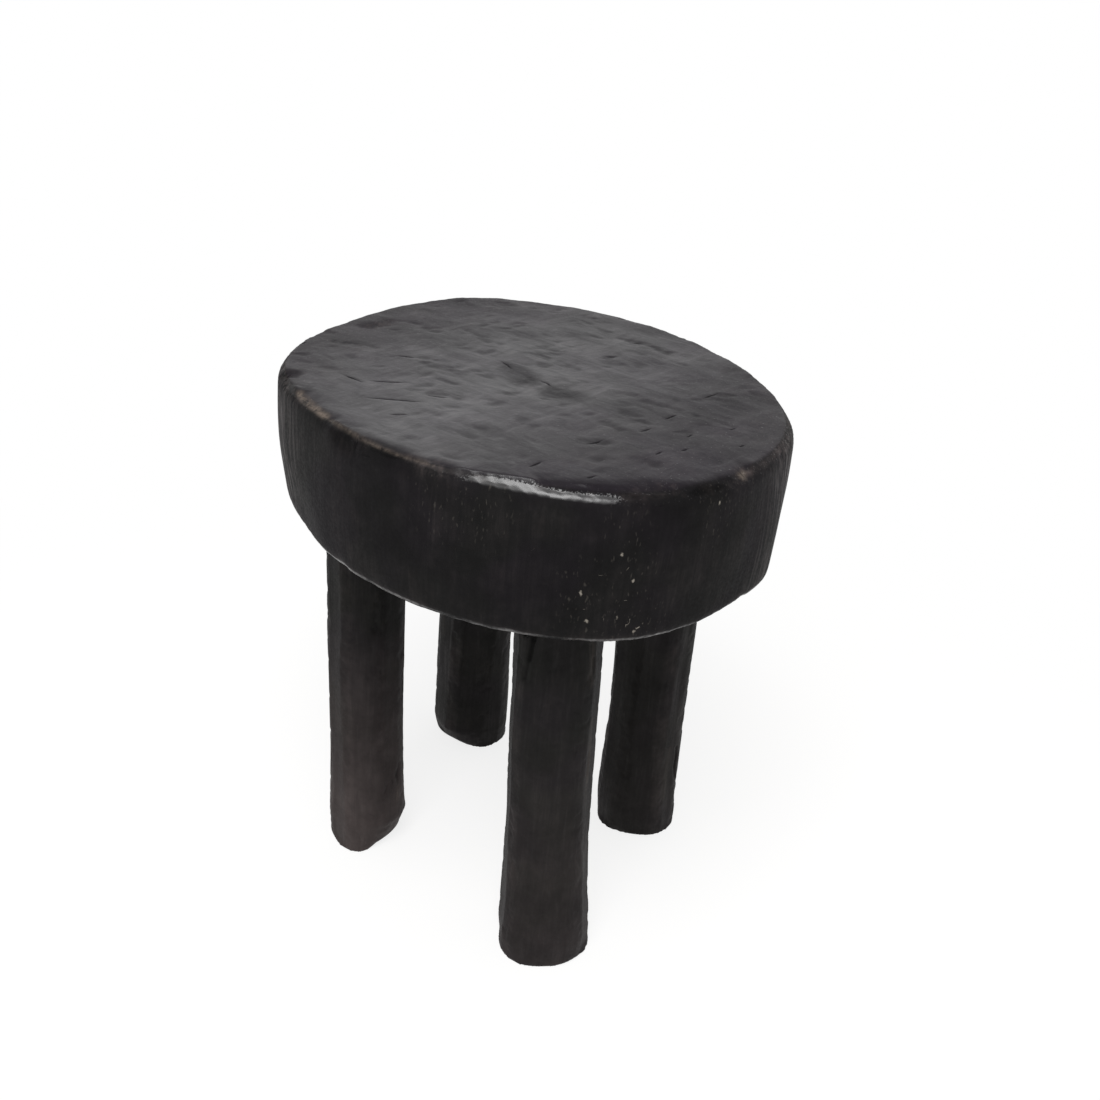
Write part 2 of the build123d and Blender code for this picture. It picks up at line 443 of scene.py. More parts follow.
def settle(piece):
    """Turns the piece's modifiers into its plain mesh."""
    evaluated = piece.evaluated_get(bpy.context.evaluated_depsgraph_get())
    mesh = bpy.data.meshes.new_from_object(evaluated)
    piece.modifiers.clear()
    piece.data = mesh


def remeshed(name, cell):
    """A copy of a CAD node in even cells, ready to be carved."""
    piece = as_object(joined_shape(name), name + "_carved")
    remesh = piece.modifiers.new("Even cells", "REMESH")
    remesh.mode = "VOXEL"
    remesh.voxel_size = cell
    remesh.use_smooth_shade = True
    settle(piece)
    return piece


def refine_above(piece, height):
    """Halves the cells of everything above a height."""
    shape = bmesh.new()
    shape.from_mesh(piece.data)
    edges = [edge for edge in shape.edges if all(point.co.z > height for point in edge.verts)]
    bmesh.ops.subdivide_edges(shape, edges=edges, cuts=1, use_grid_fill=True)
    for face in shape.faces:
        face.smooth = True
    shape.to_mesh(piece.data)
    shape.free()


def line_object(paths, name):
    """Points joined by edges, from paths in metres."""
    shape = bmesh.new()
    for path in paths:
        points = [shape.verts.new(point) for point in path]
        for start, end in zip(points, points[1:]):
            shape.edges.new((start, end))
    return as_object(shape, name)


def cut_lines(paths, name):
    """Edges down the middle of each cut, as points with the way out of the wood at each.

    The ends rise out of the wood, so that the cut runs out there.
    """
    run_out = 1 * mm
    lifted = []
    for path in paths:
        ends = (0, len(path) - 1)
        lifted.append([
            point + outwards * (run_out if place in ends else 0)
            for place, (point, outwards) in enumerate(path)
        ])
    return line_object(lifted, name)


def in_metres(paths):
    """Paths of a table, turned from millimetres to metres."""
    return [[Vector(point) * mm for point in path] for path in paths]


def heading(bearing):
    """Level unit vector along a bearing in degrees."""
    return Vector((cos(radians(bearing)), sin(radians(bearing)), 0))


def seat_cuts():
    """Nicks and checks of the top face, and the cracks of the rim."""
    paths = []
    for x, y, bearing, length in nicks:
        middle, reach = Vector((x, y, 0)), heading(bearing) * length / 2
        paths.append([middle - reach, middle, middle + reach])
    paths += [[Vector((x, y, 0)) for x, y in check] for check in checks]
    top, upwards = Vector((0, 0, seat_top)), Vector((0, 0, 1))
    cuts = [[(point * mm + top, upwards) for point in path] for path in paths]
    for path in in_metres(rim_cracks):
        cuts.append([(point, point.to_2d().to_3d().normalized()) for point in path])
    return cuts


def scoop_lines():
    """Lines along the middles of the scoops, a little above the top face."""
    above = 0.5
    paths = []
    for x, y, bearing, length in scoops:
        middle, reach = Vector((x, y, above)), heading(bearing) * length / 2
        paths.append([(middle + reach * end) * mm + Vector((0, 0, seat_top)) for end in (-1, 1)])
    return paths


def leg_lines(piece, leg, lines):
    """Lines on one leg, carried from bearings and heights on to its surface."""
    foot, shoulder = [Vector(leg[end]) * mm for end in ("foot", "shoulder")]
    clear_of_leg = 60 * mm
    paths = []
    for fineness, line in lines:
        path = []
        for bearing, height in line:
            share = height * mm / leg_height
            axis = (foot + (shoulder - foot) * share).to_3d() + Vector((0, 0, height * mm))
            start = axis + heading(bearing) * clear_of_leg
            found, point, outwards, face = piece.ray_cast(start, axis - start)
            if not found:
                raise RuntimeError(f"a line at bearing {bearing} misses {piece.name}")
            path.append((point + outwards * fineness * mm, outwards))
        paths.append(path)
    return paths


def stretched(tree, place, bearing, size, shift):
    """Coordinates whose unit cells have a real size, long along a bearing."""
    back = add(tree, "ShaderNodeMath", {0: bearing, 1: -1.0}, operation="MULTIPLY")
    along = add(tree, "ShaderNodeVectorRotate", {"Vector": place, "Angle": back},
                rotation_type="Z_AXIS")
    cells = add(tree, "ShaderNodeVectorMath", {0: along, 1: size}, operation="DIVIDE")
    return add(tree, "ShaderNodeVectorMath", {0: cells, 1: shift}, operation="ADD")


def chip_layer(tree, given, place, turn, shift):
    """Scoops on level faces, 0 where whole to 1 at the deepest, long along one bearing."""
    size = add(tree, "ShaderNodeCombineXYZ", {
        0: given["Chip Length"], 1: given["Chip Width"], 2: 1.0})
    bearing = add(tree, "ShaderNodeMath", {0: given["Stroke Bearing"], 1: turn}, operation="ADD")
    cells = stretched(tree, place, bearing, size, shift)
    cell = add(tree, "ShaderNodeTexVoronoi", {"Vector": cells, "Scale": 1.0, "Randomness": 1.0},
               voronoi_dimensions="2D").outputs
    luck = add(tree, "ShaderNodeSeparateXYZ", {0: cell["Color"]}).outputs
    # By luck a chip lies askew by some radians, is smaller than its cell, and is shallow or deep.
    askew, shrunk, force = [
        add(tree, "ShaderNodeMapRange", {"Value": luck[draw], 3: least, 4: most})
        for draw, least, most in ((0, -0.45, 0.45), (2, 1.7, 0.8), (2, 0.3, 1.0))
    ]
    inside = add(tree, "ShaderNodeVectorMath", {0: cells, 1: cell["Position"]},
                 operation="SUBTRACT")
    real = add(tree, "ShaderNodeVectorMath", {0: inside, 1: size}, operation="MULTIPLY")
    turned = add(tree, "ShaderNodeVectorRotate", {"Vector": real, "Angle": askew},
                 rotation_type="Z_AXIS")
    unit = add(tree, "ShaderNodeVectorMath", {0: turned, 1: size}, operation="DIVIDE")
    # The blade goes in gently and stops short: one end of the scoop is far steeper.
    gentle_end, steep_end, steep_sides = 1.9, 4.0, 2.3
    along = add(tree, "ShaderNodeSeparateXYZ", {0: unit}).outputs[0]
    ahead = add(tree, "ShaderNodeMath", {0: along, 1: 0.0}, operation="GREATER_THAN")
    pull = add(tree, "ShaderNodeMapRange", {"Value": ahead, 3: gentle_end, 4: steep_end})
    pull = add(tree, "ShaderNodeCombineXYZ", {0: pull, 1: steep_sides})
    reach = add(tree, "ShaderNodeVectorMath", {0: unit, 1: pull}, operation="MULTIPLY")
    away = add(tree, "ShaderNodeVectorMath", {0: reach}, operation="LENGTH").outputs["Value"]
    away = add(tree, "ShaderNodeMath", {0: away, 1: shrunk}, operation="MULTIPLY")
    bowl = add(tree, "ShaderNodeMapRange", {"Value": away, 1: 1.0, 2: 0.0},
               interpolation_type="SMOOTHSTEP")
    struck = add(tree, "ShaderNodeMath", {0: luck[1], 1: given["Chipped Share"]},
                 operation="LESS_THAN")
    return fold(tree, "ShaderNodeMath", (bowl, struck, force), operation="MULTIPLY")


def long_flats(tree, given, place, height, drift):
    """How deep the flats between a leg's ridges cut, in metres, and a mask of its main ridge."""
    share = add(tree, "ShaderNodeMath", {0: height, 1: leg_height}, operation="DIVIDE")
    axis = add(tree, "ShaderNodeMix", {0: share, 1: given["Foot"], 2: given["Shoulder"]},
               data_type="VECTOR", clamp_factor=False)
    out = add(tree, "ShaderNodeVectorMath", {0: place, 1: axis}, operation="SUBTRACT")
    out = add(tree, "ShaderNodeVectorMath", {0: out, 1: (1.0, 1.0, 0.0)}, operation="MULTIPLY")
    # The ridges wander a few degrees on their way down.
    wander_length, most_turn = 110 * mm, 0.28
    wander = add(tree, "ShaderNodeTexNoise", {
        "Vector": drift, "Scale": 1 / wander_length, "Detail": 0.0})
    wander = add(tree, "ShaderNodeMapRange", {"Value": wander, 3: -most_turn, 4: most_turn})
    back = add(tree, "ShaderNodeMath", {0: wander, 1: given["Ridge"]}, operation="SUBTRACT")
    out = add(tree, "ShaderNodeVectorRotate", {"Vector": out, "Angle": back},
              rotation_type="Z_AXIS")
    radius = add(tree, "ShaderNodeVectorMath", {0: out}, operation="LENGTH").outputs["Value"]
    ahead = add(tree, "ShaderNodeSeparateXYZ", {0: out}).outputs[0]
    ahead = add(tree, "ShaderNodeMath", {0: ahead, 1: radius}, operation="DIVIDE")
    # The mask is full within 5 degrees of the main ridge and fades away at 13.
    faded, full = cos(radians(13)), cos(radians(5))
    sharpest = add(tree, "ShaderNodeMapRange", {"Value": ahead, 1: faded, 2: full})
    cuts = []
    for start, end, share in zip(ridge_turns, ridge_turns[1:], flat_shares):
        across = add(tree, "ShaderNodeVectorMath", {0: out, 1: heading((start + end) / 2)},
                     operation="DOT_PRODUCT").outputs["Value"]
        shy = add(tree, "ShaderNodeMath", {0: across, 1: radius}, operation="SUBTRACT")
        most = add(tree, "ShaderNodeMath", {0: given["Flat Depth"], 1: share}, operation="MULTIPLY")
        cuts.append(add(tree, "ShaderNodeMath", {0: shy, 1: most}, operation="ADD"))
    return fold(tree, "ShaderNodeMath", (*cuts, 0.0), operation="MAXIMUM"), sharpest


def nearest(tree, guide, element, place=None):
    """Outputs that say where a guide's nearest line, point or face is, and how far away."""
    shape = add(tree, "GeometryNodeObjectInfo", {"Object": guide}).outputs["Geometry"]
    inputs = {"Geometry": shape, "Sample Position": place} if place else {"Geometry": shape}
    return add(tree, "GeometryNodeProximity", inputs, target_element=element).outputs


def closeness(tree, guide, full, none, place=None):
    """1 within one distance of a guide's lines, falling to 0 at another."""
    beside = nearest(tree, guide, "EDGES", place)
    near = add(tree, "ShaderNodeMapRange", {"Value": beside["Distance"], 1: none, 2: full},
               interpolation_type="SMOOTHSTEP")
    return add(tree, "ShaderNodeMath", {0: near, 1: beside["Is Valid"]}, operation="MULTIPLY")


def way_to(tree, guide, element, place):
    """The vector from a point to the nearest line or point of a guide."""
    there = nearest(tree, guide, element)["Position"]
    return add(tree, "ShaderNodeVectorMath", {0: there, 1: place}, operation="SUBTRACT")


def pared(tree, lie, out, tilt, cut):
    """How far a plane at a tilt from level cuts below the bevel's rounding, in metres."""
    tilt = radians(tilt)
    across = add(tree, "ShaderNodeMath", {0: lie, 1: cos(tilt)}, operation="MULTIPLY")
    facing = add(tree, "ShaderNodeMath", {0: out, 1: sin(tilt), 2: across},
                 operation="MULTIPLY_ADD")
    rise = add(tree, "ShaderNodeMath", {0: facing, 1: 1.0}, operation="SUBTRACT")
    return add(tree, "ShaderNodeMath", {0: rise, 1: bevel_height, 2: cut},
               operation="MULTIPLY_ADD")


def carving_tree():
    """Geometry Nodes that hew a plain solid: chips on level faces, facets on upright ones."""
    tree = bpy.data.node_groups.new("Hewn wood", "GeometryNodeTree")
    tree.interface.new_socket("Geometry", in_out="OUTPUT", socket_type="NodeSocketGeometry")
    for kind, names in (
        ("Geometry", ("Geometry",)),
        ("Object", (
            "Joined To", "Cuts", "Knocks", "Rubs", "Polish", "Dust", "Scoops", "Smudges", "Scuffs",
        )),
        ("Float", (
            "Chip Length", "Chip Width", "Chip Depth", "Chipped Share", "Stroke Bearing",
            "Scoop Depth", "Dish Depth", "Facet Width", "Facet Height", "Facet Depth", "Ridge",
            "Flat Depth", "Bevel Cut", "Knock Depth", "Swell Length", "Swell Depth",
            "Cut Width", "Cut Depth", "Rubbed",
        )),
        ("Vector", ("Foot", "Shoulder")), ("Int", ("Seed",)), ("Material", ("Wood",)),
    ):
        for name in names:
            tree.interface.new_socket(name, in_out="INPUT", socket_type="NodeSocket" + kind)
    given = add(tree, "NodeGroupInput").outputs

    # The voxel cells leave faint steps, which a few rounds of averaging take out.
    few_rounds, more_rounds, most_rounds = 3, 8, 32
    sole = 2 * mm
    place = add(tree, "GeometryNodeInputPosition")
    height = add(tree, "ShaderNodeSeparateXYZ", {0: place}).outputs[2]
    eased = add(tree, "GeometryNodeBlurAttribute", {"Value": place, "Iterations": few_rounds},
                data_type="FLOAT_VECTOR")
    off_floor = add(tree, "ShaderNodeMath", {0: height, 1: sole}, operation="GREATER_THAN")
    shape = add(tree, "GeometryNodeSetPosition",
                {"Geometry": given["Geometry"], "Selection": off_floor, "Position": eased})

    # How a face lies, from 1 facing up to -1 facing down, plain and averaged. The bevel is cut
    # by the averaged one, along averaged normals, so that its polished stretch shines evenly.
    normal = add(tree, "GeometryNodeInputNormal").outputs[0]
    lie = add(tree, "ShaderNodeSeparateXYZ", {0: normal}).outputs[2]
    even_lie, soft_lie = [
        add(tree, "GeometryNodeBlurAttribute", {"Value": lie, "Iterations": rounds},
            data_type="FLOAT")
        for rounds in (more_rounds, most_rounds)
    ]
    aim = add(tree, "GeometryNodeBlurAttribute", {"Value": normal, "Iterations": more_rounds},
              data_type="FLOAT_VECTOR")
    # Level faces, upright ones, and edges, which are what lies between the two.
    steep = add(tree, "ShaderNodeMath", {0: lie}, operation="ABSOLUTE")
    level, upright = [
        add(tree, "ShaderNodeMapRange", {"Value": steep, 1: none, 2: full},
            interpolation_type="SMOOTHSTEP")
        for none, full in ((0.85, 0.985), (0.6, 0.25))
    ]
    faces = add(tree, "ShaderNodeMath", {0: level, 1: upright}, operation="ADD")
    edge = add(tree, "ShaderNodeMath", {0: 1.0, 1: faces}, operation="SUBTRACT", use_clamp=True)

    # Unevenness of several sizes in millimetres, moved by the seed: it bends the chips, weakens
    # the scoops, breaks the edges and picks the stretches of rim that are pared further.
    seed = add(tree, "ShaderNodeMath", {0: given["Seed"], 1: seed_step}, operation="MULTIPLY")
    drift = add(tree, "ShaderNodeVectorMath", {0: place, 1: seed}, operation="ADD")
    bend, weak, broken, chance = [
        add(tree, "ShaderNodeTexNoise", {
            "Vector": drift, "Scale": 1 / (size * mm), "Detail": detail})
        for size, detail in ((16, 1), (9, 0), (12, 2), (38, 1))
    ]
    middle, sway = (0.5, 0.5, 0.5), (12 * mm, 12 * mm, 0.0)
    bend = add(tree, "ShaderNodeVectorMath", {0: bend.outputs["Color"], 1: middle},
               operation="SUBTRACT")
    bent = add(tree, "ShaderNodeVectorMath", {0: bend, 1: sway, 2: place},
               operation="MULTIPLY_ADD")

    # Swells: the hand never keeps a face quite true.
    slow = add(tree, "ShaderNodeMath", {0: 1.0, 1: given["Swell Length"]}, operation="DIVIDE")
    swell = add(tree, "ShaderNodeTexNoise", {"Vector": drift, "Scale": slow, "Detail": 1.0})

    # Chips: three passes of the adze across each other, turned by radians and shifted apart.
    layers = []
    for turn, shift in ((0.0, 11.0), (1.5, 47.0), (0.35, 83.0)):
        offset = add(tree, "ShaderNodeMath", {0: seed, 1: shift}, operation="ADD")
        layers.append(chip_layer(tree, given, bent, turn, offset))
    chips = fold(tree, "ShaderNodeMath", layers, operation="MAXIMUM")
    chips = add(tree, "ShaderNodeMath", {0: chips, 1: level}, operation="MULTIPLY")

    # Dishes: the broad shallow bites that the chips sit on.
    bite_length, bite_width = 46 * mm, 26 * mm
    bite = add(tree, "ShaderNodeCombineXYZ", {0: bite_length, 1: bite_width, 2: 1.0})
    laid = stretched(tree, bent, given["Stroke Bearing"], bite, seed)
    dish = add(tree, "ShaderNodeTexVoronoi", {"Vector": laid, "Scale": 1.0, "Smoothness": 0.3},
               voronoi_dimensions="2D", feature="SMOOTH_F1").outputs["Distance"]

    # Facets: shallow upright flutes that meet in soft ridges.
    flute = add(tree, "ShaderNodeCombineXYZ", {
        0: given["Facet Width"], 1: given["Facet Width"], 2: given["Facet Height"]})
    wide = add(tree, "ShaderNodeVectorMath", {0: place, 1: flute}, operation="DIVIDE")
    own = add(tree, "ShaderNodeVectorMath", {0: wide, 1: seed}, operation="ADD")
    facet = add(tree, "ShaderNodeTexVoronoi", {"Vector": own, "Scale": 1.0, "Smoothness": 0.25},
                feature="SMOOTH_F1").outputs["Distance"]

    # Long flats: their ridges are knocked too, and are where a leg is rubbed.
    flats, sharpest = long_flats(tree, given, place, height, drift)
    flats = add(tree, "ShaderNodeMath", {0: flats, 1: upright}, operation="MULTIPLY")
    flatted, bevelled = [
        add(tree, "ShaderNodeMath", {0: given[cut], 1: 0.0}, operation="GREATER_THAN")
        for cut in ("Flat Depth", "Bevel Cut")
    ]
    main_ridge = add(tree, "ShaderNodeMath", {0: sharpest, 1: flatted}, operation="MULTIPLY")

    # Masks: what each is read from, where it begins and is full, and what it gives at both.
    mask = {}
    for name, source, begin, full, least, most in (
        ("firm", weak, 0.35, 0.6, 0.25, 1),
        ("dish", dish, 0.75, 0.1, 0, 1),
        ("facet", facet, 0.75, 0.15, 0, 1),
        ("swell", swell, 0.3, 0.7, 0, 1),
        ("nibble", broken, 0.48, 0.75, 0, 1),
        ("chipped ridge", broken, 0.5, 0.75, 0, 1),
        ("ridge", flats, 0.5 * mm, 0, 0, 1),
        ("chance", chance, 0.58, 0.72, 0, 1),
    ):
        mask[name] = add(tree, "ShaderNodeMapRange", {
            "Value": source, 1: begin, 2: full, 3: least, 4: most})
    scoop = closeness(tree, given["Scoops"], 0.5 * mm, 8 * mm, bent)
    scoop = fold(tree, "ShaderNodeMath", (scoop, mask["firm"], level), operation="MULTIPLY")
    worn = closeness(tree, given["Knocks"], 2 * mm, 12 * mm, bent)
    handled = closeness(tree, given["Polish"], 7 * mm, 16 * mm)
    unhandled = add(tree, "ShaderNodeMath", {0: 1.0, 1: handled}, operation="SUBTRACT")
    half = add(tree, "ShaderNodeMath", {0: given["Cut Width"], 1: 0.5}, operation="MULTIPLY")
    cut = closeness(tree, given["Cuts"], 0.0, half)

    # The bevel was pared to a slope of about 50 degrees, and above that to a flatter one, deeper
    # where the rim was knocked. Hands have worn the slope further where they polish it.
    slope_tilt, upper_tilt, wear = 50, 35, 1.6 * mm
    shallow, deep = 0.2 * mm, 1.8 * mm
    chance = add(tree, "ShaderNodeMath", {0: mask["chance"], 1: unhandled}, operation="MULTIPLY")
    upper_cut = add(tree, "ShaderNodeMath", {0: worn, 1: chance}, operation="MAXIMUM")
    upper_cut = add(tree, "ShaderNodeMapRange", {"Value": upper_cut, 3: shallow, 4: deep})
    held_cut = add(tree, "ShaderNodeMath", {0: handled, 1: wear, 2: given["Bevel Cut"]},
                   operation="MULTIPLY_ADD")
    out = add(tree, "ShaderNodeMath", {0: even_lie, 1: even_lie}, operation="MULTIPLY")
    out = add(tree, "ShaderNodeMath", {0: 1.0, 1: out}, operation="SUBTRACT", use_clamp=True)
    out = add(tree, "ShaderNodeMath", {0: out}, operation="SQRT")
    slope = pared(tree, even_lie, out, slope_tilt, held_cut)
    upper = pared(tree, even_lie, out, upper_tilt, upper_cut)
    bevel = fold(tree, "ShaderNodeMath", (slope, upper, 0.0), operation="MAXIMUM")
    bevel = add(tree, "ShaderNodeMath", {0: bevel, 1: bevelled}, operation="MULTIPLY")

    # All the cuts together, each a product of its masks and its depth.
    cuts = [flats, bevel]
    for setting, parts in (
        ("Knock Depth", (mask["chipped ridge"], mask["ridge"], upright, flatted)),
        ("Chip Depth", (chips,)), ("Dish Depth", (mask["dish"], level)),
        ("Facet Depth", (mask["facet"], upright)), ("Swell Depth", (mask["swell"],)),
        ("Knock Depth", (mask["nibble"], edge, unhandled)), ("Knock Depth", (worn,)),
        ("Scoop Depth", (scoop,)), ("Cut Depth", (cut,)),
    ):
        cuts.append(fold(tree, "ShaderNodeMath", (*parts, given[setting]), operation="MULTIPLY"))
    depth = fold(tree, "ShaderNodeMath", cuts, operation="ADD")

    # No cutting where the piece meets another or stands on the floor.
    gap = nearest(tree, given["Joined To"], "FACES")["Distance"]
    clear, raised = [
        add(tree, "ShaderNodeMapRange", {"Value": away, 1: none, 2: full},
            interpolation_type="SMOOTHSTEP")
        for away, none, full in ((gap, 1 * mm, 9 * mm), (height, 0.5 * mm, 6 * mm))
    ]
    free = add(tree, "ShaderNodeMath", {0: clear, 1: raised}, operation="MULTIPLY")
    inward = fold(tree, "ShaderNodeMath", (depth, free, -1.0), operation="MULTIPLY")
    move = add(tree, "ShaderNodeVectorMath", {0: aim, "Scale": inward}, operation="SCALE")

    # What the material reads. The vectors lead to the nearest cut and fleck of dust.
    for name, value in {
        "edge": edge, "lie": lie, "soft_lie": soft_lie, "rubbed": given["Rubbed"],
        "ridge": main_ridge, "worn": worn,
        "chip": add(tree, "ShaderNodeMath", {0: chips, 1: scoop}, operation="MAXIMUM"),
        # Soot round the heart, and painted shade along the rim.
        "smudge": closeness(tree, given["Smudges"], 1 * mm, 20 * mm, bent),
        "bare": closeness(tree, given["Rubs"], 1 * mm, 6.5 * mm),
        "polish": closeness(tree, given["Polish"], 4.5 * mm, 11 * mm),
        # Scuffs, whose pale streaks at the seat's ends are also painted sheen.
        "scuff": closeness(tree, given["Scuffs"], 5 * mm, 75 * mm),
        "to_cut": way_to(tree, given["Cuts"], "EDGES", place),
        "to_dust": way_to(tree, given["Dust"], "POINTS", place),
    }.items():
        kind = "FLOAT_VECTOR" if name.startswith("to_") else "FLOAT"
        shape = add(tree, "GeometryNodeStoreNamedAttribute",
                    {"Geometry": shape, "Name": name, "Value": value}, data_type=kind,
                    domain="POINT")
    carved = add(tree, "GeometryNodeSetPosition", {"Geometry": shape, "Offset": move})
    whole = add(tree, "GeometryNodeRealizeInstances", {"Geometry": carved})
    dressed = add(tree, "GeometryNodeSetMaterial", {"Geometry": whole, "Material": given["Wood"]})
    add(tree, "NodeGroupOutput", {"Geometry": dressed})
    return tree


def carve(piece, values):
    """Runs the carving tree on a piece, keeps its plain mesh and clears the guides away.

    Inputs of the tree that values leaves out stay at 0, which is no cut of that kind.
    """
    tree = bpy.data.node_groups.get("Hewn wood") or carving_tree()
    modifier = piece.modifiers.new("Hewn wood", "NODES")
    modifier.node_group = tree
    for item in tree.interface.items_tree:
        if item.in_out == "INPUT" and item.name in values:
            modifier[item.identifier] = values[item.name]
    settle(piece)
    for value in values.values():
        if isinstance(value, bpy.types.Object):
            bpy.data.objects.remove(value)


def wood_material(name, look, black, amounts):
    """Wood darkened with smoke and oil, over the grain of an upright trunk.

    The amounts say how this piece differs: how much brown shows, how far its sides are scuffed,
    the even wax on them, how much its fibres show, how far from a cut's middle its painted shade
    fades and is full, and how pale its bare places are.
    """
    material = bpy.data.materials.new(name)
    tree = emptied_tree(material)
    place = add(tree, "ShaderNodeTexCoord").outputs["Object"]
    up = add(tree, "ShaderNodeSeparateXYZ", {0: place}).outputs[2]

    # Fibres run up the trunk, so they are streaks on upright faces and pores on level ones.
    drawn, slim = [
        add(tree, "ShaderNodeVectorMath", {0: place, 1: squeeze}, operation="MULTIPLY")
        for squeeze in (fibre_squeeze, pit_squeeze)
    ]
    # Patterns: what each is drawn on, its size in millimetres, and how much finer detail it has.
    # Real fibres, pores and grit are 0.1 to 0.3 mm, too fine to show, and are drawn coarser.
    fibre, hairs, mottle, grit, cast, specks, pits = [
        add(tree, "ShaderNodeTexNoise", {
            "Vector": on, "Scale": 1 / (size * mm), "Detail": detail, "Roughness": rough,
            "Distortion": twist})
        for on, size, detail, rough, twist in (
            (drawn, 5, 5, 0.7, 0.4), (drawn, 2.2, 2, 0.5, 0), (place, 34, 4, 0.65, 0),
            (place, 2.2, 2, 0.6, 0), (place, 55, 1, 0.5, 0), (place, 1.3, 1, 0.5, 0),
            (slim, 1.8, 1, 0.5, 0),
        )
    ]
    # Soft strokes of the blade and of years of wiping, across the top face at two bearings.
    strokes = []
    for bearing in (-8, 80):
        turned = add(tree, "ShaderNodeVectorRotate", {"Vector": place, "Angle": -radians(bearing)},
                     rotation_type="Z_AXIS")
        long = add(tree, "ShaderNodeVectorMath", {0: turned, 1: stroke_squeeze},
                   operation="MULTIPLY")
        strokes.append(add(tree, "ShaderNodeTexNoise", {
            "Vector": long, "Scale": 1 / stroke_width, "Detail": 3.0, "Roughness": 0.45,
            "Distortion": 0.5}))
    choose = add(tree, "ShaderNodeMapRange", {"Value": mottle, 1: 0.45, 2: 0.55})
    stroke = add(tree, "ShaderNodeMix", {0: choose, 1: strokes[0], 2: strokes[1]})

    kept = {
        name: add(tree, "ShaderNodeAttribute", attribute_name=name).outputs["Fac"]
        for name in ("edge", "lie", "soft_lie", "chip", "smudge", "rubbed", "ridge", "worn",
                     "bare", "polish", "scuff")
    }
    # How far the nearest cut and the nearest fleck of dust are; a fleck is taller than wide.
    far_off = []
    for name, squeeze in (("to_cut", (1.0, 1.0, 1.0)), ("to_dust", fleck_squeeze)):
        reach = add(tree, "ShaderNodeAttribute", attribute_name=name).outputs["Vector"]
        reach = add(tree, "ShaderNodeVectorMath", {0: reach, 1: squeeze}, operation="MULTIPLY")
        reach = add(tree, "ShaderNodeVectorMath", {0: reach}, operation="LENGTH")
        far_off.append(reach.outputs["Value"])
    from_cut, from_dust = far_off
    # The wax is thickest in front and thins faster to the left and right than towards the back.
    from_middle = add(tree, "ShaderNodeVectorMath", {0: place, 1: look.wax_middle},
                      operation="SUBTRACT")
    from_middle = add(tree, "ShaderNodeVectorMath", {0: from_middle, 1: wax_squeeze},
                      operation="MULTIPLY")
    from_middle = add(tree, "ShaderNodeVectorMath", {0: from_middle}, operation="LENGTH")

    # Masks: what each is read from, where it begins and is full, and what it gives at both.
    mask = {}
    for name, source, begin, full, least, most in (
        # Where brown and raw wood show through.
        ("streak", fibre, 0.42, 0.7, 0, 1),
        ("patch", mottle, 0.44, 0.64, 0, 1),
        ("hair", hairs, 0.44, 0.6, 0, 1),
        ("low", up, 230 * mm, 20 * mm, 0, 1),
        ("on ridge", mottle, 0.4, 0.65, 0, 0.2),
        ("ragged", fibre, 0.35, 0.6, 0.1, 1),
        # Lights and darks of the black, its soot and its dust, and painted shade along the rim.
        ("cast", cast, 0.42, 0.58, 0, 1),
        ("clotted", mottle, 0.4, 0.6, 0.55, 0.95),
        ("painted_rim_shade", kept["smudge"], 0.6, 0.8, 0, 0.9),
        ("shade", mottle, 0.3, 0.7, 0.72, 1.28),
        ("lines", fibre, 0.3, 0.7, 1 - amounts["fibres"], 1 + amounts["fibres"]),
        ("around", from_dust, 24 * mm, 7 * mm, 0, 0.1),
        # Wax of the top face and the bevel.
        ("crisp", kept["lie"], 0.93, 0.98, 0, 1),
        ("thin", from_middle.outputs["Value"], 20 * mm, 230 * mm, 1, 0.36),
        ("wiped", stroke, 0.3, 0.7, 0.8, 1.2),
        ("sloping", kept["lie"], 0.25, 0.5, 0, 1),
        ("slanting", kept["lie"], 0.2, 0.3, 0, 1),
        ("smeared", grit, 0.35, 0.6, 0.5, 1),
        ("unworn", kept["worn"], 0, 1, 1, 0.5),
        ("cloudy", mottle, 0.3, 0.7, 0.88, 1.12),
        # Wax of the sides and of the seat's lower edge.
        ("ends", kept["scuff"], 0, 1, amounts["scuffed"], 1.3),
        ("turning", kept["lie"], -0.38, -0.5, 0, 1),
        ("turned", kept["lie"], -0.95, -0.8, 0, 0.7),
        ("uneven", mottle, 0.4, 0.6, 0.15, 1),
        ("frayed", fibre, 0.38, 0.55, 0.35, 1.1),
        ("dull", grit, 0.3, 0.7, 0.55, 0.75),
    ):
        mask[name] = add(tree, "ShaderNodeMapRange", {
            "Value": source, 1: begin, 2: full, 3: least, 4: most})
    # Painted shade in the cuts: full near a cut's middle and fading away from it.
    cut_shade_fades, cut_shade_full = amounts["cut"]
    cut, soft = [
        add(tree, "ShaderNodeMapRange", {"Value": source, 1: begin, 2: full},
            interpolation_type="SMOOTHSTEP")
        for source, begin, full in (
            (from_cut, cut_shade_fades, cut_shade_full), (kept["soft_lie"], 0.72, 0.985))
    ]
    # The top face runs softly into the bevel where it is handled, and ends crisply elsewhere.
    reached = add(tree, "ShaderNodeMapRange", {"Value": mask["thin"], 1: 0.45, 2: 0.75, 3: 0.1})
    topside = add(tree, "ShaderNodeMix", {0: reached, 1: mask["crisp"], 2: soft})
    off_top = add(tree, "ShaderNodeMath", {0: 1.0, 1: topside}, operation="SUBTRACT")

